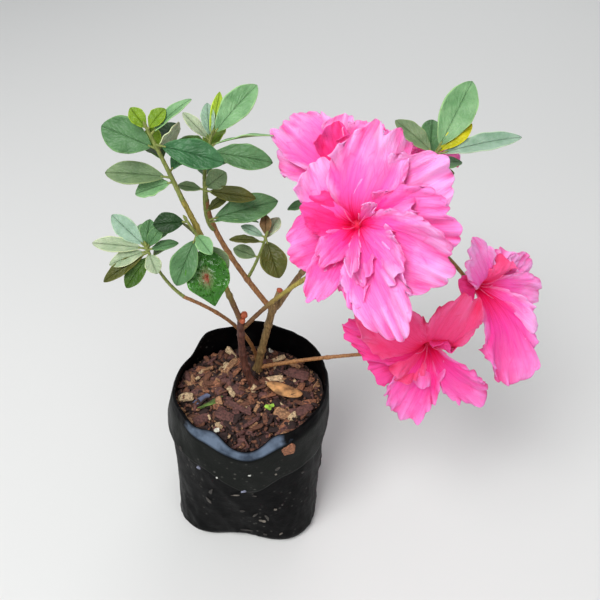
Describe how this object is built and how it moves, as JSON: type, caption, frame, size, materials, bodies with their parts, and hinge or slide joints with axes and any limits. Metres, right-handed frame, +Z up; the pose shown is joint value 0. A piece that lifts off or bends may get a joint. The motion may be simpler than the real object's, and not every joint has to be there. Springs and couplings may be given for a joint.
{
  "type": "potted azalea shrub",
  "caption": "Young azalea shrub with leafy shoots and large ruffled double blooms, standing in a filled film grow bag.",
  "frame": {"origin": "middle of the grow bag's flat underside", "axes": "+Z up; +X to the right and +Y away as seen from the side that most blooms face"},
  "size_m": [0.1774, 0.1157, 0.2029],
  "materials": {
    "film": "thin black film, wrinkled, satin",
    "mix": "damp bark chips and grit",
    "dark_bark": "thin dark red-brown bark",
    "olive_bark": "thin olive-brown bark",
    "leaf": "satin leaves with a paler underside",
    "petal": "soft velvety petals with a deep throat"
  },
  "bodies": {
    "root": {"grow_bag": "film", "potting_mix": "mix", "main_stem": "dark_bark", "right_stem": "olive_bark", "thin_stem": "dark_bark", "low_bough": "dark_bark", "left_bough": "olive_bark", "centre_bough": "dark_bark", "bloom_bough": "olive_bark", "right_bough": "olive_bark", "foliage_top_left": "leaf", "foliage_top_centre": "leaf", "foliage_centre": "leaf", "foliage_low_centre": "leaf", "foliage_left": "leaf", "foliage_right_of_stem": "leaf", "foliage_right": "leaf", "foliage_back": "leaf", "bloom_main": "petal", "bloom_top": "petal", "bloom_low": "petal", "bloom_right": "petal", "bloom_back": "petal"}
  },
  "joints": []
}
